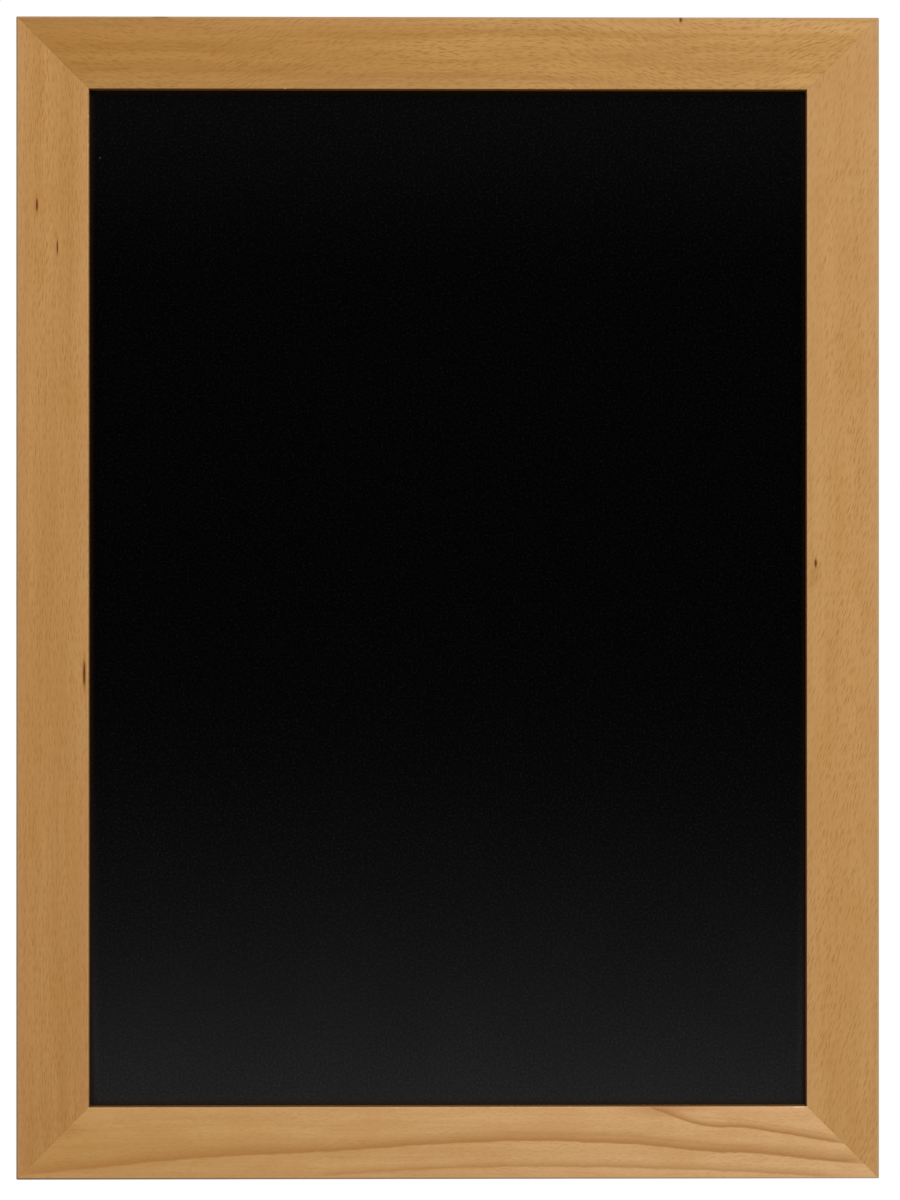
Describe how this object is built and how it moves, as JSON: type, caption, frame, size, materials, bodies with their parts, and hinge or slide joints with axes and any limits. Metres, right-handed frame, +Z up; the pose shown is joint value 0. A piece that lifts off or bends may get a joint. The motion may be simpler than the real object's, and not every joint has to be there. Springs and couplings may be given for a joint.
{
  "type": "framed writing board",
  "caption": "Upright wall writing board: a black writing panel in a flat, mitred beech frame, with swinging hanger rings and bumpers behind.",
  "frame": {"origin": "on the wall, midway between the two hooks that the hanger rings hang on; the bumpers' back faces touch the same plane", "axes": "+Z up along the board's height, +Y into the wall, so the writing face looks along -Y; +X to the right as seen from the front"},
  "size_m": [0.594, 0.0225, 0.8],
  "materials": {
    "beech": "satin clear lacquer over sanded beech",
    "writing_coat": "matt black writing coat on hardboard, bare brown hardboard behind",
    "zinc_steel": "zinc-plated steel",
    "rubber": "moulded soft rubber, matt"
  },
  "bodies": {
    "board": {"bottom_rail": "beech", "top_rail": "beech", "left_stile": "beech", "right_stile": "beech", "writing_panel": "writing_coat", "corner_wedge_bottom_left_inner": "zinc_steel", "corner_wedge_bottom_left_outer": "zinc_steel", "corner_wedge_bottom_right_inner": "zinc_steel", "corner_wedge_bottom_right_outer": "zinc_steel", "corner_wedge_top_left_inner": "zinc_steel", "corner_wedge_top_left_outer": "zinc_steel", "corner_wedge_top_right_inner": "zinc_steel", "corner_wedge_top_right_outer": "zinc_steel", "hanger_screw_left_lower": "zinc_steel", "hanger_screw_left_upper": "zinc_steel", "hanger_screw_right_lower": "zinc_steel", "hanger_screw_right_upper": "zinc_steel", "hanger_strap_left": "zinc_steel", "hanger_strap_right": "zinc_steel", "panel_point_bottom_1": "zinc_steel", "panel_point_bottom_2": "zinc_steel", "panel_point_bottom_3": "zinc_steel", "panel_point_left_1": "zinc_steel", "panel_point_left_2": "zinc_steel", "panel_point_left_3": "zinc_steel", "panel_point_left_4": "zinc_steel", "panel_point_right_1": "zinc_steel", "panel_point_right_2": "zinc_steel", "panel_point_right_3": "zinc_steel", "panel_point_right_4": "zinc_steel", "panel_point_top_1": "zinc_steel", "panel_point_top_2": "zinc_steel", "panel_point_top_3": "zinc_steel", "wall_bumper_left": "rubber", "wall_bumper_right": "rubber"},
    "left_ring": {"hanger_ring_left": "zinc_steel"},
    "right_ring": {"hanger_ring_right": "zinc_steel"}
  },
  "joints": [
    {"name": "left_ring_swing", "type": "hinge", "parent": "board", "child": "left_ring", "pos_m": [-0.2755, -0.00245, -0.01198], "axis": [-1, 0, 0], "range_deg": [0, 178]},
    {"name": "right_ring_swing", "type": "hinge", "parent": "board", "child": "right_ring", "pos_m": [0.2755, -0.00245, -0.01198], "axis": [-1, 0, 0], "range_deg": [0, 178]}
  ]
}
